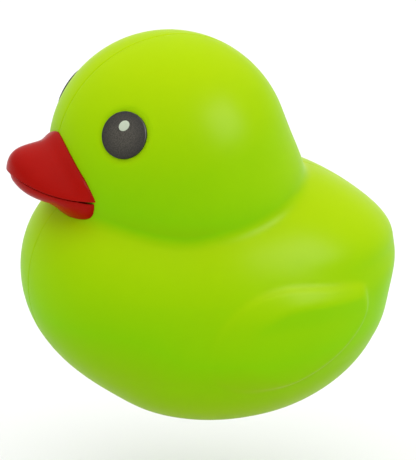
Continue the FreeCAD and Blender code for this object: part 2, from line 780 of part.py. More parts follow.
def split_ring(label, inner, outer, bottom, top, gap):
    """A snap ring with a gap that lets it spring open."""
    ring = tube(label, inner, outer, bottom, top)
    opening = sketch_on(ring, label + "_gap_outline", "XY_Plane", bottom + " - 1")
    bar_outline(opening, inner + " - 2", outer + " + 2", gap)
    sink(ring, label + "_gap", opening, f"({top}) - ({bottom}) + 2", True)
    return on_well_axis(ring, label)


def make_cap():
    """Vented cap with a finger pocket, grooves for its seal and rings, and a slot for the shutter's tab."""
    pocket_radius = "sizes.dome_radius - sizes.dome_wall"
    disc_top = "sizes.cap_face + sizes.cap_thickness"
    swivel_low = "sizes.swivel_bottom - 0.1"
    swivel_high = "sizes.swivel_bottom + sizes.swivel_height + 0.1"
    cap = turned("base_cap", (
        ("0", "sizes.dome_top - sizes.dome_wall"),
        (pocket_radius, "sizes.dome_top - sizes.dome_wall"),
        (pocket_radius, "sizes.cap_face"),
        ("sizes.cap_radius", "sizes.cap_face"),
        ("sizes.cap_radius", "sizes.seal_height - sizes.seal_section"),
        ("sizes.seal_radius - sizes.seal_section", "sizes.seal_height - sizes.seal_section"),
        ("sizes.seal_radius - sizes.seal_section", "sizes.seal_height + sizes.seal_section"),
        ("sizes.cap_radius", "sizes.seal_height + sizes.seal_section"),
        ("sizes.cap_radius", "sizes.rim_top"),
        ("sizes.hub_radius", "sizes.rim_top"),
        ("sizes.hub_radius", swivel_low),
        ("sizes.hub_radius - 1", swivel_low),
        ("sizes.hub_radius - 1", swivel_high),
        ("sizes.hub_radius", swivel_high),
        ("sizes.hub_radius", "sizes.hub_top"),
        ("sizes.hub_bore", "sizes.hub_top"),
        ("sizes.hub_bore", disc_top),
        ("sizes.dome_radius", disc_top),
        ("sizes.dome_radius", "sizes.retainer_bottom - 0.1"),
        ("sizes.retainer_floor - 0.1", "sizes.retainer_bottom - 0.1"),
        ("sizes.retainer_floor - 0.1", "sizes.retainer_bottom + sizes.retainer_thickness + 0.1"),
        ("sizes.dome_radius", "sizes.retainer_bottom + sizes.retainer_thickness + 0.1"),
        ("sizes.dome_radius", "sizes.dome_top"),
        ("0", "sizes.dome_top"),
    ))
    bar = sketch_on(cap, "finger_bar_outline", "XY_Plane", "sizes.cap_face")
    bar_outline(bar, "-(sizes.dome_radius - 1)", "sizes.dome_radius - 1", "sizes.bar_width")
    raise_pad(cap, "finger_bar", bar, "sizes.dome_top - sizes.dome_wall - sizes.cap_face + 0.5")
    vent = sketch_on(cap, "cap_vent_outline", "XY_Plane", "sizes.cap_face - 1")
    bar_outline(vent, "sizes.vent_inner", "sizes.vent_outer", "sizes.vent_width")
    vents = sink(cap, "cap_vent", vent, "sizes.cap_thickness + 2", True)
    repeat_round(cap, vents, size("vent_count"))
    slot = sketch_on(cap, "tab_slot_outline", "XY_Plane", "sizes.cap_face - 1")
    clear = 8.5
    arc_outline(slot, "sizes.tab_inner - 0.4", "sizes.tab_outer + 0.4", -clear, size("dose_angle") + clear)
    sink(cap, "tab_slot", slot, "sizes.cap_thickness + 2", True)
    mark = sketch_on(cap, "dose_mark_outline", "XY_Plane", "sizes.cap_face")
    bar_outline(mark, "sizes.tab_outer + 0.9", "sizes.vent_inner - 0.5", "0.6")
    marks = sink(cap, "dose_mark", mark, "0.5", True)
    repeat_round(cap, marks, 4, size("dose_angle"))
    return on_well_axis(cap, "base_cap")


def arc_outline(sketch, inner, outer, start, end):
    """A slot bent round the local axis, from a start angle to an end angle in degrees."""
    low = math.radians(start)
    high = math.radians(end)
    for radius in (inner, outer):
        circle = Part.Circle(Vector(0, 0, 0), Vector(0, 0, 1), float(sheet.evalExpression(radius)))
        sketch.addGeometry(Part.ArcOfCircle(circle, low, high), False)
    inner_arc = sketch.Geometry[0]
    outer_arc = sketch.Geometry[1]
    sketch.addGeometry(Part.LineSegment(inner_arc.StartPoint, outer_arc.StartPoint), False)
    sketch.addGeometry(Part.LineSegment(inner_arc.EndPoint, outer_arc.EndPoint), False)
    for first, first_end, second, second_end in ((2, 1, 0, 1), (2, 2, 1, 1), (3, 1, 0, 2), (3, 2, 1, 2)):
        sketch.addConstraint(Sketcher.Constraint("Coincident", first, first_end, second, second_end))
    for arc, radius in ((0, inner), (1, outer)):
        sketch.addConstraint(Sketcher.Constraint("Coincident", arc, 3, -1, 1))
        place = sketch.addConstraint(Sketcher.Constraint("Radius", arc, float(sheet.evalExpression(radius))))
        sketch.renameConstraint(place, f"radius_{arc}")
        sketch.setExpression(f".Constraints.radius_{arc}", radius)


def make_seal():
    """Rubber ring in the groove of the cap's rim."""
    seal = primitive("Torus", "seal_ring", Radius1="sizes.seal_radius", Radius2="sizes.seal_section")
    seal.setExpression("Placement.Base.z", "sizes.seal_height")
    return on_well_axis(seal, "cap_seal")


def make_shutter():
    """Flat ring with a slot for each vent and a tab that reaches down through the cap."""
    bottom = "sizes.cap_face + sizes.cap_thickness + sizes.running_gap"
    shutter = tube(
        "vent_shutter",
        "sizes.dome_radius + sizes.running_gap",
        "sizes.shutter_radius",
        bottom,
        bottom + " + sizes.shutter_thickness",
    )
    vent = sketch_on(shutter, "shutter_vent_outline", "XY_Plane", bottom + " - 1")
    bar_outline(vent, "sizes.vent_inner", "sizes.vent_outer", "sizes.vent_width")
    vents = sink(shutter, "shutter_vent", vent, "sizes.shutter_thickness + 2", True)
    repeat_round(shutter, vents, size("vent_count"))
    tab = sketch_on(shutter, "tab_outline", "XY_Plane", "sizes.tab_foot")
    bar_outline(tab, "sizes.tab_inner", "sizes.tab_outer", "sizes.tab_width")
    raise_pad(shutter, "tab", tab, bottom + " - sizes.tab_foot + 0.5")
    return on_well_axis(shutter, "vent_shutter")


def make_spring_washer():
    """Coned spring washer between the shutter and its retainer."""
    low = "sizes.cap_face + sizes.cap_thickness + sizes.running_gap + sizes.shutter_thickness + 0.15"
    inner = "sizes.dome_radius + 0.4"
    outer = "sizes.dome_radius + 4.8"
    washer = turned("spring_washer", (
        (outer, low),
        (outer, low + " + 0.5"),
        (inner, low + " + 1.4"),
        (inner, low + " + 0.9"),
    ))
    return on_well_axis(washer, "spring_washer")


# ------------------------------------------------------------------------------- build, check and write

def build():
    skin = make_float()
    make_beak(skin)
    for side, side_name in ((1, "left"), (-1, "right")):
        make_eye(side, side_name)
    make_glints()
    make_clips()
    make_liner()
    make_gasket()
    make_screws()
    make_ballast()
    make_basket()
    make_grate()
    make_cap()
    split_ring(
        "swivel_ring",
        "sizes.hub_radius - 0.7",
        "sizes.basket_radius - sizes.basket_wall + 0.6",
        "sizes.swivel_bottom + 0.2",
        "sizes.swivel_bottom + sizes.swivel_height - 0.2",
        "5",
    )
    make_seal()
    make_shutter()
    make_spring_washer()
    split_ring(
        "shutter_retainer",
        "sizes.retainer_floor",
        "sizes.dome_radius + 2.5",
        "sizes.retainer_bottom",
        "sizes.retainer_bottom + sizes.retainer_thickness",
        "5",
    )
    doc.recompute()


def write_parts():
    """Stops on any failed object or shape, then writes each sub-part to its own file."""
    for item in doc.Objects:
        if "Invalid" in item.State or "Error" in item.State:
            raise ValueError(f"{item.Label} failed: {item.State}")
    for item in sub_parts:
        if item.Shape.isNull() or not item.Shape.isValid():
            raise ValueError(item.Label + " has no valid shape")
    os.makedirs("parts", exist_ok=True)
    for item in sub_parts:
        item.Shape.exportStep(f"parts/{item.Label}.step")
        print(f"{item.Label:18s} {len(item.Shape.Solids)} solids {item.Shape.Volume / 1000:9.2f} cm3")


build()
write_parts()
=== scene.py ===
import math

import bmesh
import bpy
import numpy as np
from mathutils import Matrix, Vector


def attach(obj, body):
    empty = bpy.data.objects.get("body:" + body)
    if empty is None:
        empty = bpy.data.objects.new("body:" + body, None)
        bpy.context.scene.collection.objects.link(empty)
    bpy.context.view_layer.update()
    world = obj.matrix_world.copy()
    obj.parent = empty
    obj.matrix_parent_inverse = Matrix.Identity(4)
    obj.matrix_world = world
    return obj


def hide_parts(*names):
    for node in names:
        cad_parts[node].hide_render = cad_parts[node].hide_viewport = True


# Floating duck-shaped chlorine dispenser. The duck faces -Y and its left side is +X.
# Lengths in the code for shapes are millimetres; the stage, the lights and the camera are in metres.

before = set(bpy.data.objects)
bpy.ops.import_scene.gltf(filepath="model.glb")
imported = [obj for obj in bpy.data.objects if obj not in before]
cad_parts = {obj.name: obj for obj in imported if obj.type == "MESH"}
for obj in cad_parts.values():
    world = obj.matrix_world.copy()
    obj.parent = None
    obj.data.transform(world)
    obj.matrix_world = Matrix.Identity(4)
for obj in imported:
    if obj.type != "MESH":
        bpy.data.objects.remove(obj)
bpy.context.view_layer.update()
MM = 0.001

# ------------------------------------------------------------------------------- the duck's skin

HEAD_CENTRE = (0.0, -19.7, 147.1)
HEAD_RADIUS = 67.6

# the other rounded volumes: the centre, and how far each reaches sideways, fore and aft, and up and down
NECK = ((0, -7.0, 126.0), (63.2, 65.4, 41.0))
BREAST = ((0, -49.3, 77.4), (71.9, 55.3, 60.4))
TAIL = ((0, 53.7, 86.4), (52.4, 54.5, 16.0))
BODY_CENTRE = (0, 6.3, 60.6)
BODY_SIDE = 89.7
BODY_FRONT, BODY_BACK = 91.3, 102.1
BODY_UP, BODY_DOWN = 77.7, 74.5

# how widely the corner between two volumes is rounded
TAIL_BLEND = 26.6
BREAST_BLEND = 12.7
HEAD_BLEND = 16.1
NECK_CREASE = 5.0
BASE_EDGE = 3.0

# the belly opening and the wall of the float
WELL_Y = 7.6
LIP_BORE = 43.4
LIP_TOP = 5.5
WALL = 2.5

# the eyes, in degrees round from the front and up, seen from the head's centre
EYE_TURN = 45.4
EYE_LIFT = 25.4
EYE_RADIUS = 12.9

# the wing's outline on the duck's side: fore and aft, height
WING_OUTLINE = (
    (-30, 55), (-25, 72), (-9, 87), (13, 92), (43, 88), (66, 83),
    (71, 73), (67, 58), (46, 41), (18, 30), (-10, 30), (-26, 40),
)

# how high the wing stands, how much more it does along its top, and the least width of its edge
WING_HEIGHT = 2.7
WING_SHOULDER = 3.3
WING_EDGE = 6.0

# the parting groove over the duck, and the dip in the head round each eye
GROOVE_DEPTH = 0.3
GROOVE_WIDTH = 0.35
SOCKET_DEPTH = 0.9
SOCKET_WIDTH = 4.5


def blob(points, centre, reach, power=2.0):
    """Distance of points from a rounded volume, negative inside."""
    shares = np.maximum(np.abs(points - np.array(centre)) / np.array(reach), 1e-9)
    power = np.broadcast_to(power, points.shape[:-1])[..., None]
    stretch = (shares ** power).sum(-1, keepdims=True) ** (1 / power)
    slopes = (shares / stretch) ** (power - 1) / np.array(reach)
    return (stretch[..., 0] - 1) / np.linalg.norm(slopes, axis=-1)


def soft_min(first, second, softness):
    """The nearer of two distances, with the corner between them rounded."""
    overlap = np.maximum(softness - np.abs(first - second), 0) / softness
    return np.minimum(first, second) - overlap * overlap * softness / 4


def skin_distance(points):
    """Distance of points from the duck's skin, negative inside."""
    sides = np.abs(points[..., 0])
    y, z = points[..., 1], points[..., 2]
    points = np.stack([sides, y, z], -1)
    head = blob(points, HEAD_CENTRE, (HEAD_RADIUS,) * 3)
    neck = blob(points, *NECK)
    length_reach = np.where(y < BODY_CENTRE[1], BODY_FRONT, BODY_BACK)
    height_reach = np.where(z > BODY_CENTRE[2], BODY_UP, BODY_DOWN)
    body_reach = np.stack([np.full_like(y, BODY_SIDE), length_reach, height_reach], -1)
    fullness = 2.06 + 0.24 * np.clip((z - BODY_CENTRE[2]) / 50 + 0.5, 0, 1)
    body = blob(points, BODY_CENTRE, body_reach, fullness)
    breast = blob(points, *BREAST)
    tail = blob(points, *TAIL)
    bottom = soft_min(soft_min(body, tail, TAIL_BLEND), breast, BREAST_BLEND)
    duck = soft_min(soft_min(head, neck, HEAD_BLEND), bottom, NECK_CREASE)
    return -soft_min(-duck, z, BASE_EDGE)


def smooth_step(share):
    """A share eased at both ends, held between 0 and 1."""
    share = np.clip(share, 0, 1)
    return share * share * (3 - 2 * share)


def rounded_loop(corners, per_corner=12):
    """Closed curve through a few corner points."""
    corners = np.array(corners, float)
    before, after, beyond = (np.roll(corners, shift, 0) for shift in (1, -1, -2))
    dots = []
    for share in np.arange(per_corner) / per_corner:
        dots.append(
            0.5 * (
                2 * corners
                + (after - before) * share
                + (2 * before - 5 * corners + 4 * after - beyond) * share ** 2
                + (3 * corners - before - 3 * after + beyond) * share ** 3
            )
        )
    return np.stack(dots, 1).reshape(-1, 2)


def inside_distance(places, loop):
    """How far places in a plane lie inside a closed loop; negative outside."""
    best = np.full(len(places), 1e9)
    inside = np.zeros(len(places), bool)
    for start, end in zip(loop, np.roll(loop, -1, 0)):
        run = end - start
        share = np.clip(((places - start) @ run) / (run @ run), 0, 1)
        gap = places - start - share[:, None] * run
        best = np.minimum(best, np.linalg.norm(gap, axis=1))
        crosses = (start[1] > places[:, 1]) != (end[1] > places[:, 1])
        rise = np.where(run[1] == 0, 1e-9, run[1])
        inside ^= crosses & (places[:, 0] < start[0] + run[0] * (places[:, 1] - start[1]) / rise)
    return np.where(inside, best, -best)


def wing_relief(points):
    """Height of the wing over the body: crisp behind and below, soft on top, fading out in front."""
    depth = inside_distance(points[:, 1:], rounded_loop(WING_OUTLINE))
    y, z = points[:, 1], points[:, 2]
    front = smooth_step((25 - y) / 50)
    top = smooth_step((z - 66) / 24)
    softness = WING_EDGE + 20 * top + 26 * front
    height = WING_HEIGHT + WING_SHOULDER * top * (1 - 0.45 * smooth_step((y - 31) / 35))
    depth = depth + 1.5
    rise = np.sin(smooth_step(depth / 6) * np.clip(depth / softness, 0, 1) * math.pi / 2)
    return height * rise * (points[:, 0] > 20)


def direction(azimuth, elevation):
    """Unit step away from the duck, in degrees round from its front towards its left side, and up."""
    turn, lift = math.radians(azimuth), math.radians(elevation)
    return (math.sin(turn) * math.cos(lift), -math.cos(turn) * math.cos(lift), math.sin(lift))


def eye_axis(side, lift=EYE_LIFT):
    """Direction of an eye from the head's centre; side is 1 on the left and -1 on the right."""
    return np.array(direction(side * EYE_TURN, lift))


def eye_socket(points):
    """Shallow dip in the head round each eye."""
    offset = np.abs(points * (1, 0, 0)) + points * (0, 1, 1) - np.array(HEAD_CENTRE)
    reach = np.linalg.norm(np.cross(offset, eye_axis(1)), axis=1)
    ahead = offset @ eye_axis(1) > 0
    return -SOCKET_DEPTH * (1 - smooth_step((reach - EYE_RADIUS + 0.6) / SOCKET_WIDTH)) * ahead


def skin_point(height, angle, depth):
    """Points on the skin at heights and angles round the duck, at a depth under it."""
    spine = WELL_Y + (HEAD_CENTRE[1] - WELL_Y) * height / (HEAD_CENTRE[2] + HEAD_RADIUS)
    low = np.zeros_like(height)
    high = np.full_like(height, 160.0)
    for _ in range(30):
        reach = (low + high) / 2
        places = np.stack([reach * np.cos(angle), spine + reach * np.sin(angle), height], -1)
        inside = skin_distance(places) < -depth
        low = np.where(inside, reach, low)
        high = np.where(inside, high, reach)
    return np.stack([low * np.cos(angle), spine + low * np.sin(angle), height], -1)


def skin_normal(points):
    """Outward direction of the skin."""
    step = 0.05
    slopes = []
    for axis in range(3):
        shift = np.zeros(3)
        shift[axis] = step
        slopes.append(skin_distance(points + shift) - skin_distance(points - shift))
    slopes = np.stack(slopes, -1)
    return slopes / np.linalg.norm(slopes, axis=-1, keepdims=True)


def ring_heights(bottom, top, centre):
    """Heights of the rings: dense near the base, even up the body, then even round the crown."""
    rise = np.linspace(0, 1, 130)
    rise = rise - 0.6 * np.sin(2 * math.pi * rise) / (2 * math.pi) * (rise < 0.5)
    lower = bottom + (centre - bottom) * rise
    turn = np.radians(np.linspace(0, 89.4, 64))[1:]
    return np.concatenate([lower, centre + (top - centre) * np.sin(turn)])


def half_angles(count):
    """Angles round one half of the duck, denser where it meets the other half."""
    middle = np.linspace(-89, 89, count)
    edge = np.array([90, 89.93, 89.8, 89.6, 89.35])
    return np.radians(np.concatenate([-edge, middle[1:-1], edge[::-1]]))


def circle_row(radius, height, angles):
    """A row of points round the belly opening."""
    return np.stack(
        [radius * np.cos(angles), WELL_Y + radius * np.sin(angles), np.full_like(angles, height)], -1
    )


def outer_rows(angles):
    """Skin of one half from the top of the belly opening down, round the base and up to the crown."""
    rows = [
        circle_row(LIP_BORE, LIP_TOP, angles),
        circle_row(LIP_BORE, 0.6, angles),
        circle_row(LIP_BORE + 0.18, 0.17, angles),
        circle_row(LIP_BORE + 0.6, 0.0, angles),
    ]
    heights = ring_heights(0.02, HEAD_CENTRE[2] + HEAD_RADIUS, HEAD_CENTRE[2])
    grid_height, grid_angle = np.meshgrid(heights, angles, indexing="ij")
    skin = skin_point(grid_height, grid_angle, 0.0)
    flat = skin.reshape(-1, 3)
    lift = wing_relief(flat) + eye_socket(flat)
    lift -= GROOVE_DEPTH * np.exp(-((flat[:, 0] / GROOVE_WIDTH) ** 2))
    moved = flat + skin_normal(flat) * lift[:, None]
    moved[:, 0] = np.where(flat[:, 0] < 1e-6, 0.0, np.maximum(moved[:, 0], 0))
    moved[:, 2] = np.maximum(moved[:, 2], 0)
    return rows + list(moved.reshape(skin.shape))


def inner_rows(angles):
    """Inside of one half: the lip's upper face, then the wall, with as many rows as the outside."""
    wall_bottom = skin_point(np.full_like(angles, LIP_TOP), angles, WALL)
    bore = circle_row(LIP_BORE, LIP_TOP, angles)
    rows = [bore + (wall_bottom - bore) * share for share in np.linspace(0, 1, 4)]
    heights = ring_heights(LIP_TOP + 0.02, HEAD_CENTRE[2] + HEAD_RADIUS - WALL, HEAD_CENTRE[2])
    grid_height, grid_angle = np.meshgrid(heights, angles, indexing="ij")
    return rows + list(skin_point(grid_height, grid_angle, WALL))


def sheet_faces(first, row_count, column_count, flip):
    """Quads between neighbouring rows of points, from the first point's number on."""
    faces = []
    for row in range(row_count - 1):
        for column in range(column_count - 1):
            corner = first + row * column_count + column
            quad = (corner, corner + 1, corner + column_count + 1, corner + column_count)
            faces.append(quad[::-1] if flip else quad)
    return faces


def loop_faces(loop_count, count):
    """Quads between neighbouring closed loops of points, and a face over each end."""
    faces = []
    for loop in range(loop_count - 1):
        low, high = loop * count, (loop + 1) * count
        for index in range(count):
            after = (index + 1) % count
            faces.append((low + index, low + after, high + after, high + index))
    faces.append(tuple(range(count)))
    faces.append(tuple(range((loop_count - 1) * count, loop_count * count)))
    return faces


def make_mesh(name, points, faces, sharp_degrees=35):
    """An object from points in millimetres, smooth except at sharp edges, with its faces turned outward."""
    mesh = bpy.data.meshes.new(name)
    mesh.from_pydata((np.asarray(points) * MM).tolist(), [], faces)
    shape = bmesh.new()
    shape.from_mesh(mesh)
    bmesh.ops.remove_doubles(shape, verts=shape.verts, dist=1e-6)
    bmesh.ops.dissolve_degenerate(shape, edges=shape.edges, dist=1e-7)
    bmesh.ops.recalc_face_normals(shape, faces=shape.faces)
    shape.to_mesh(mesh)
    shape.free()
    mesh.shade_smooth()
    mesh.set_sharp_from_angle(angle=math.radians(sharp_degrees))
    item = bpy.data.objects.new(name, mesh)
    bpy.context.collection.objects.link(item)
    return item


def make_shell(side, side_name):
    """One moulded half of the float, with its wall, its lip and its half of the parting groove."""
    outer_angles = half_angles(170)
    inner_angles = half_angles(60)
    outer = outer_rows(outer_angles)
    inner = inner_rows(inner_angles)
    row_count = len(outer)
    outer_columns = len(outer_angles)
    inner_columns = len(inner_angles)
    inner_first = row_count * outer_columns
    points = np.concatenate([np.concatenate(outer), np.concatenate(inner)])
    faces = sheet_faces(0, row_count, outer_columns, False)
    faces += sheet_faces(inner_first, row_count, inner_columns, True)
    for outer_column, inner_column in ((0, 0), (outer_columns - 1, inner_columns - 1)):
        for row in range(row_count - 1):
            low_out = row * outer_columns + outer_column
            low_in = inner_first + row * inner_columns + inner_column
            faces.append((low_out, low_out + outer_columns, low_in + inner_columns, low_in))
    lip_out = list(range(outer_columns))
    lip_in = [inner_first + column for column in range(inner_columns)]
    faces.append(tuple(lip_out + lip_in[::-1]))
    top_out = [(row_count - 1) * outer_columns + column for column in range(outer_columns)]
    top_in = [inner_first + (row_count - 1) * inner_columns + column for column in range(inner_columns)]
    faces.append(tuple(top_out))
    faces.append(tuple(top_in[::-1]))
    faces.append((top_out[0], top_out[-1], top_in[-1], top_in[0]))
    points[:, 0] *= side
    shell = make_mesh("float_" + side_name, points, faces)
    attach(shell, "float")
    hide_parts("shell_" + side_name)
    return shell


# ------------------------------------------------------------------------------- beak and eyes

# the beak, measured from the head's centre: where it starts inside the head, its half width, its reach
BEAK_ROOT = -43.5
BEAK_SIDE = 36.5
BEAK_LENGTH = 50.8
BEAK_FLARE = 3.0

# how far the bills stay off the mouth line, the upper lip, and the upper bill's height from root to tip
UPPER_GAP = 0.5
LOWER_GAP = 0.6
LIP_HEIGHT = 4.4
CROWN_ROOT = 35.1
CROWN_FALL = 19.8

# how far an eye stands out of the head and goes into it, the radius of its dome, of its rim, of its glint
EYE_PROUD = 1.3
EYE_DEPTH = 2.2
EYE_BALL = 50.0
EYE_ROUNDING = 0.7
GLINT_RADIUS = 3.05


def mouth_height(y):
    """Height of the mouth line over the head's centre."""
    share = np.clip((BEAK_ROOT - y) / BEAK_LENGTH, 0, 1)
    return -11.4 + 10.8 * share ** 2.6


def bill_loop(y, share, count, inset, top):
    """One cross section of a bill; share runs from 0 at its root to 1 at its tip."""
    share = min(share, 0.9995)
    width = (BEAK_SIDE - inset) * math.sqrt(1 - share ** 2)
    turn = np.arange(count) * 2 * math.pi / count
    across = np.cos(turn)
    spread = np.abs(across)
    upper = np.sin(turn) >= 0
    mouth = mouth_height(y)
    nose = (1 - share ** 10) ** 0.5
    if top:
        lip = LIP_HEIGHT * nose
        crown = (CROWN_ROOT - CROWN_FALL * share) * nose - lip
        slope = 1.1 + 0.95 * share
        over = mouth + UPPER_GAP + (lip - UPPER_GAP) * np.sqrt(1 - spread ** 4)
        over = over + crown * (1 - spread ** slope) ** 0.85
        under = mouth + UPPER_GAP - 0.4 * nose * np.sqrt(1 - spread ** 8)
    else:
        near_head = float(smooth_step((y + 78) / 14))
        depth = (8.0 + 5.5 * near_head) * nose
        over = mouth - LOWER_GAP + 0.5 * nose * np.sqrt(1 - spread ** 8)
        under = mouth - LOWER_GAP - depth * (1 - spread ** 3) ** 0.6
    return np.stack([width * across, np.full(count, y), np.where(upper, over, under)], -1)


def make_bill(name, node, inset, length, top):
    """A bill swept from inside the head to its rounded tip, flaring a little where it meets the head."""
    count = 96
    loops = []
    for step in np.linspace(0.15, 1, 84):
        share = math.sin(step * math.pi / 2)
        loops.append(bill_loop(BEAK_ROOT - length * share, share, count, inset, top))
    points = np.concatenate(loops)
    gap = np.linalg.norm(points, axis=1) - HEAD_RADIUS
    corner = smooth_step(np.abs(points[:, 0]) / BEAK_SIDE * 4 - 3)
    reach = np.where(gap > 0, 4.0, 2.2)
    flare = BEAK_FLARE * np.exp(-((gap / reach) ** 2)) * (gap > -6) * (1 - 0.9 * corner)
    outward = points * (1, 0, 1) + (0, 0, 9.0)
    outward[:, 2] = np.maximum(outward[:, 2], 0)
    if not top:
        outward = points * (0.5, 0, 1)
    outward = outward / np.maximum(np.linalg.norm(outward, axis=1, keepdims=True), 1e-6)
    points = points + outward * flare[:, None] + np.array(HEAD_CENTRE)
    bill = make_mesh(name, points, loop_faces(len(loops), count), 60)
    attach(bill, "float")
    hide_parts(node)
    return bill


def turned_points(profile, count):
    """Rings of points made by turning a profile of radius and height about the local Z axis."""
    rings = []
    for radius, height in profile:
        turn = np.arange(count) * 2 * math.pi / count
        rings.append(np.stack([radius * np.cos(turn), radius * np.sin(turn), np.full(count, height)], -1))
    return np.concatenate(rings), loop_faces(len(profile), count)


def set_along(points, axis):
    """Turns points built up the local Z axis onto an axis through the head's centre."""
    turn = Vector((0, 0, 1)).rotation_difference(Vector(axis)).to_matrix()
    return points @ np.array(turn).T + np.array(HEAD_CENTRE)


def dome_height(radius):
    """Height of an eye's face over the head's centre, at a distance from the eye's middle."""
    return HEAD_RADIUS + EYE_PROUD - EYE_BALL + math.sqrt(EYE_BALL ** 2 - radius ** 2)


def make_eye(side, side_name):
    """A domed disc with a rounded rim."""
    flat_radius = EYE_RADIUS - EYE_ROUNDING
    profile = [(radius, dome_height(radius)) for radius in np.linspace(0.05, flat_radius, 22)]
    edge = dome_height(flat_radius) - EYE_ROUNDING
    for turn in np.radians((70, 50, 30, 10, 0)):
        radius = flat_radius + EYE_ROUNDING * math.cos(turn)
        profile.append((radius, edge + EYE_ROUNDING * math.sin(turn)))
    profile += [(EYE_RADIUS, HEAD_RADIUS - EYE_DEPTH), (0.05, HEAD_RADIUS - EYE_DEPTH)]
    points, faces = turned_points(profile, 96)
    eye = make_mesh("eye_lens_" + side_name, set_along(points, eye_axis(side)), faces)
    centre = Vector(np.array(HEAD_CENTRE) * MM)
    axis = Vector(eye_axis(side))
    # the share of the eye's radius out from its middle, which the eye material uses for its painted
    # reflection and painted rim shade
    rim = eye.data.attributes.new("rim", "FLOAT", "POINT")
    for index, vertex in enumerate(eye.data.vertices):
        rim.data[index].value = (vertex.co - centre).cross(axis).length / (EYE_RADIUS * MM)
    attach(eye, "float")
    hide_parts("eye_" + side_name)
    return eye


def make_glints():
    """The pale inlays of both eyes, a little proud and with soft edges."""
    all_points = []
    all_faces = []
    top = dome_height(0) + 0.25
    profile = [(0.05, top), (1.6, top - 0.03), (2.5, top - 0.1), (2.9, top - 0.25)]
    profile += [(GLINT_RADIUS, top - 0.7), (GLINT_RADIUS, top - 1.6), (0.05, top - 1.6)]
    for side in (1, -1):
        points, faces = turned_points(profile, 48)
        points = points * (0.92, 1.08, 1)
        first = sum(len(part) for part in all_points)
        all_points.append(set_along(points, eye_axis(side, EYE_LIFT + 4.0)))
        all_faces += [tuple(first + corner for corner in face) for face in faces]
    glints = make_mesh("eye_glint_inlays", np.concatenate(all_points), all_faces)
    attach(glints, "float")
    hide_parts("eye_glints")
    return glints


# ------------------------------------------------------------------------------- materials

def map_range(tree, source, low, high, start=0.0, end=1.0):
    """A source mapped from start and end onto low and high."""
    node = tree.nodes.new("ShaderNodeMapRange")
    for name, value in (("From Min", start), ("From Max", end), ("To Min", low), ("To Max", high)):
        node.inputs[name].default_value = value
    tree.links.new(source, node.inputs["Value"])
    return node.outputs["Result"]


class Finish:
    """A material built from nodes: a shader with noise-driven colour, roughness and bump."""

    def __init__(self, name):
        self.material = bpy.data.materials.new(name)
        self.material.use_nodes = True
        self.tree = self.material.node_tree
        self.nodes = self.tree.nodes
        self.links = self.tree.links
        self.shader = self.nodes["Principled BSDF"]
        self.place = self.nodes.new("ShaderNodeTexCoord").outputs["Object"]

    def set(self, **values):
        """Plain values of the shader; an underscore stands for a space."""
        for key, value in values.items():
            self.shader.inputs[key.replace("_", " ")].default_value = value
        return self

    def noise(self, scale, detail=3.0, stretch=None):
        """Noise over the piece, stretched along its axes if asked."""
        source = self.place
        if stretch:
            spread = self.nodes.new("ShaderNodeMapping")
            spread.inputs["Scale"].default_value = stretch
            self.links.new(source, spread.inputs["Vector"])
            source = spread.outputs["Vector"]
        node = self.nodes.new("ShaderNodeTexNoise")
        node.inputs["Scale"].default_value = scale
        node.inputs["Detail"].default_value = detail
        self.links.new(source, node.inputs["Vector"])
        return node.outputs["Fac"]

    def ramp(self, source, stops):
        """Colours picked by a source, from pairs of position and colour."""
        node = self.nodes.new("ShaderNodeValToRGB")
        while len(node.color_ramp.elements) < len(stops):
            node.color_ramp.elements.new(0.5)
        for element, (position, colour) in zip(node.color_ramp.elements, stops):
            element.position = position
            element.color = (*colour, 1)
        self.links.new(source, node.inputs["Fac"])
        return node.outputs["Color"]

    def colour(self, source, stops):
        """The shader's colour, picked by a source."""
        self.links.new(self.ramp(source, stops), self.shader.inputs["Base Color"])
        return self

    def rough(self, source, low, high):
        """The shader's roughness, between low and high."""
        self.links.new(map_range(self.tree, source, low, high), self.shader.inputs["Roughness"])
        return self

    def bump(self, source, height, strength=1.0):
        """Fine relief, with its height in metres."""
        node = self.nodes.new("ShaderNodeBump")
        node.inputs["Strength"].default_value = strength
        node.inputs["Distance"].default_value = height
        self.links.new(source, node.inputs["Height"])
        self.links.new(node.outputs["Normal"], self.shader.inputs["Normal"])
        return self

    def on(self, *items):
        """Puts the material on pieces, in place of what they have."""
        for item in items:
            item.data.materials.clear()
            item.data.materials.append(self.material)
        return self


def green_finish():
    """Soft glossy lime vinyl, slightly translucent and faintly mottled, with painted shade making it deeper
    green underneath and painted light making it yellower on top.
    """
    finish = Finish("green_vinyl")
    finish.set(
        Subsurface_Weight=0.3,
        Subsurface_Radius=(1.0, 0.9, 0.15),
        Subsurface_Scale=0.006,
        IOR=1.42,
        Specular_IOR_Level=0.02,
    )
    # painted light and shade: the colour follows the way the surface faces, yellower where it faces up to
    # the light, deeper green where it faces down into shade
    facing = finish.nodes.new("ShaderNodeSeparateXYZ")
    surface = finish.nodes.new("ShaderNodeNewGeometry")
    finish.links.new(surface.outputs["Normal"], facing.inputs["Vector"])
    painted_light_by_facing = map_range(finish.tree, facing.outputs["Z"], 0.0, 1.0, start=-1.0)
    # a faint random mottle added to the painted light of the facing share
    mottle_and_painted_light = finish.nodes.new("ShaderNodeMath")
    mottle_and_painted_light.operation = "MULTIPLY_ADD"
    mottle_and_painted_light.inputs[1].default_value = 0.06
    finish.links.new(finish.noise(12, 2), mottle_and_painted_light.inputs[0])
    finish.links.new(painted_light_by_facing, mottle_and_painted_light.inputs[2])
    # the low stop is painted shade on the underside and the high stop painted light on top; only the noise
    # is the vinyl's own mottle
    finish.colour(
        mottle_and_painted_light.outputs["Value"],
        (
            (0.12, (0.235, 0.385, 0.001)),
            (0.45, (0.212, 0.505, 0.001)),
            (0.95, (0.35, 0.53, 0.001)),
        ),
    )
    finish.rough(finish.noise(40), 0.3, 0.36)
    return finish.bump(finish.noise(900, 2), 0.00004, 0.5)


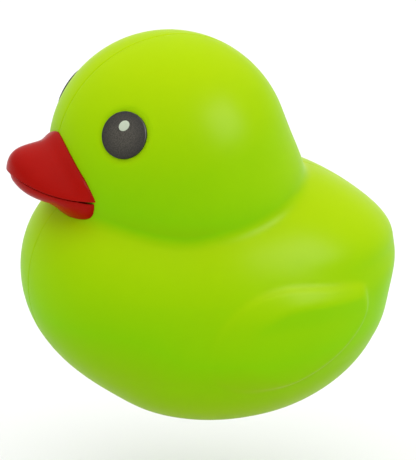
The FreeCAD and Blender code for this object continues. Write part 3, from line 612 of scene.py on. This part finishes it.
def red_finish():
    """Satin red plastic of the beak."""
    finish = Finish("red_plastic")
    finish.set(Specular_IOR_Level=0.05)
    finish.colour(finish.noise(30), ((0.3, (0.30, 0.003, 0.001)), (0.7, (0.34, 0.004, 0.0015))))
    finish.rough(finish.noise(120), 0.26, 0.4)
    return finish.bump(finish.noise(1500, 2), 0.00004, 0.5)


def eye_finish():
    """Near-black speckled plastic, with a painted reflection that lightens and browns the middle and fades
    to painted shade at the rim.
    """
    finish = Finish("eye_plastic")
    rim = finish.nodes.new("ShaderNodeAttribute")
    rim.attribute_name = "rim"
    speckle = finish.ramp(
        finish.noise(1800, 2), ((0.4, (0.034, 0.031, 0.024)), (0.6, (0.066, 0.060, 0.047)))
    )
    # painted reflection and shade: full brightness in the eye's middle, falling to a third at its rim
    painted_reflection_and_rim_shade = ((0.0, 1.0), (0.45, 0.9), (0.9, 0.45), (1.0, 0.3))
    edge = finish.ramp(rim.outputs["Fac"], [(place, (shade,) * 3) for place, shade in painted_reflection_and_rim_shade])
    mix = finish.nodes.new("ShaderNodeMix")
    mix.data_type = "RGBA"
    mix.blend_type = "MULTIPLY"
    mix.inputs["Factor"].default_value = 1.0
    finish.links.new(speckle, mix.inputs["A"])
    finish.links.new(edge, mix.inputs["B"])
    finish.links.new(mix.outputs["Result"], finish.shader.inputs["Base Color"])
    finish.set(Specular_IOR_Level=0.25)
    finish.rough(finish.noise(200), 0.42, 0.55)
    return finish.bump(finish.noise(1500, 2), 0.00003, 0.4)


def plain_finish(name, dark, light, rough, grain=60, bump=0.00003, stretch=None, **values):
    """A finish that varies gently between two colours."""
    finish = Finish(name)
    finish.set(**values)
    finish.colour(finish.noise(grain, 3, stretch), ((0.3, dark), (0.7, light)))
    finish.rough(finish.noise(grain * 2, 3, stretch), *rough)
    return finish.bump(finish.noise(grain * 12, 2, stretch), bump, 0.6)


def glint_finish():
    """Pale inlays in the eyes."""
    return plain_finish("glint_plastic", (0.40, 0.46, 0.35), (0.44, 0.50, 0.38), (0.25, 0.35), 200)


def white_finish():
    """Moulded plastic of the well and the canister."""
    return plain_finish("white_plastic", (0.72, 0.74, 0.70), (0.80, 0.81, 0.77), (0.38, 0.5))


def steel_finish():
    """Brushed steel of the clips, screws, rings and the spring washer."""
    return plain_finish(
        "clip_steel", (0.5, 0.5, 0.49), (0.64, 0.64, 0.62), (0.18, 0.34), stretch=(1, 1, 8), Metallic=1.0
    )


def rubber_finish():
    """Matt black rubber of the gasket and the cap's seal."""
    return plain_finish(
        "black_rubber", (0.012, 0.012, 0.012), (0.03, 0.03, 0.03), (0.6, 0.75), bump=0.00008
    )


def iron_finish():
    """Black painted cast iron of the ballast ring."""
    return plain_finish("ballast_iron", (0.03, 0.03, 0.03), (0.06, 0.058, 0.055), (0.5, 0.7), 90, 0.0002)


def cap_finish():
    """Green plastic of the cap, a little duller than the float."""
    return plain_finish("green_cap", (0.22, 0.50, 0.003), (0.27, 0.56, 0.004), (0.34, 0.46), 30)


def dark_finish():
    """Dark plastic of the dosing shutter."""
    return plain_finish("dark_plastic", (0.035, 0.04, 0.042), (0.055, 0.062, 0.064), (0.4, 0.55))


def dress_cad_nodes():
    """Finishes for the hardware that keeps its CAD shape."""
    steel_names = (
        "eye_clips", "beak_clips", "well_screws", "swivel_ring", "spring_washer", "shutter_retainer",
    )
    for finish, names in (
        (white_finish(), ("well_liner", "tablet_basket", "tablet_grate")),
        (steel_finish(), steel_names),
        (rubber_finish(), ("well_gasket", "cap_seal")),
        (iron_finish(), ("ballast_ring",)),
        (cap_finish(), ("base_cap",)),
        (dark_finish(), ("vent_shutter",)),
    ):
        finish.on(*(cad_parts[name] for name in names))


# ------------------------------------------------------------------------------- stage, light and camera

FLOOR_HALF = 6.0
FLOOR_HEIGHT = -0.085

# the sky's strength at the horizon and overhead, and a pale glow that fades out between two heights
SKY_STRENGTH = (0.3, 1.95)
GLOW_STRENGTH = 0.8
GLOW_HEIGHTS = (0.05, 0.12)

LIGHT_TARGET = (0, 0, 0.1)

CAMERA_AZIMUTH = 68.0
CAMERA_ELEVATION = 21.8
CAMERA_DISTANCE = 1.375
CAMERA_TARGET = (0.0011, 0.0034, 0.0957)
CAMERA_LENS = 188.1
CAMERA_SENSOR = 36


def make_floor():
    """A pale floor, low enough for the canister to come all the way down over it."""
    mesh = bpy.data.meshes.new("floor")
    corners = [
        (x * FLOOR_HALF, y * FLOOR_HALF, 0) for x, y in ((-1, -1), (1, -1), (1, 1), (-1, 1))
    ]
    mesh.from_pydata(corners, [], [(0, 1, 2, 3)])
    floor = bpy.data.objects.new("floor", mesh)
    floor.location.z = FLOOR_HEIGHT
    bpy.context.collection.objects.link(floor)
    plain_finish("pale_floor", (0.77, 0.77, 0.77), (0.79, 0.79, 0.79), (0.6, 0.7), 3, 0.0).on(floor)


def area_light(name, azimuth, elevation, distance, size, watts, only_glossy=False):
    """A square soft light aimed at the duck's middle; an only glossy one gives a highlight and no more."""
    light = bpy.data.lights.new(name, "AREA")
    light.shape = "SQUARE"
    light.size = size
    light.energy = watts
    item = bpy.data.objects.new(name, light)
    away = Vector(direction(azimuth, elevation))
    item.location = Vector(LIGHT_TARGET) + away * distance
    item.rotation_euler = away.to_track_quat("Z", "Y").to_euler()
    item.visible_diffuse = not only_glossy
    bpy.context.collection.objects.link(item)


def light_scene():
    """A bright studio sky that darkens towards the horizon, with a pale band behind the floor's edge."""
    world = bpy.data.worlds.new("studio")
    world.use_nodes = True
    tree = world.node_tree
    nodes, links = tree.nodes, tree.links
    height = nodes.new("ShaderNodeSeparateXYZ")
    links.new(nodes.new("ShaderNodeTexCoord").outputs["Generated"], height.inputs["Vector"])
    sky = map_range(tree, height.outputs["Z"], *SKY_STRENGTH)
    glow = map_range(tree, height.outputs["Z"], GLOW_STRENGTH, 0.0, *GLOW_HEIGHTS)
    total = nodes.new("ShaderNodeMath")
    total.operation = "ADD"
    links.new(sky, total.inputs[0])
    links.new(glow, total.inputs[1])
    links.new(total.outputs["Value"], nodes["Background"].inputs["Strength"])
    nodes["Background"].inputs["Color"].default_value = (1, 1, 1, 1)
    bpy.context.scene.world = world
    area_light("softbox", 135, 35, 1.6, 0.8, 88, only_glossy=True)
    area_light("side", 140, 50, 2.2, 1.2, 4)
    scene = bpy.context.scene
    scene.view_settings.view_transform = "Standard"
    scene.view_settings.look = "None"


def make_camera():
    """The camera at the photograph's angle: from the duck's front left and above."""
    data = bpy.data.cameras.new("camera")
    data.sensor_width = CAMERA_SENSOR
    data.lens = CAMERA_LENS
    camera = bpy.data.objects.new("camera", data)
    back = Vector(direction(CAMERA_AZIMUTH, CAMERA_ELEVATION))
    camera.location = Vector(CAMERA_TARGET) + back * CAMERA_DISTANCE
    camera.rotation_euler = back.to_track_quat("Z", "Y").to_euler()
    bpy.context.collection.objects.link(camera)
    bpy.context.scene.camera = camera


# ------------------------------------------------------------------------------- build

shells = [make_shell(1, "left"), make_shell(-1, "right")]
green_finish().on(*shells)
bills = [
    make_bill("bill_upper", "beak_upper", 0.0, BEAK_LENGTH, True),
    make_bill("bill_lower", "beak_lower", 1.5, BEAK_LENGTH - 2.0, False),
]
red_finish().on(*bills)
eyes = [make_eye(1, "left"), make_eye(-1, "right")]
eye_finish().on(*eyes)
glint_finish().on(make_glints())
dress_cad_nodes()
make_floor()
light_scene()
make_camera()
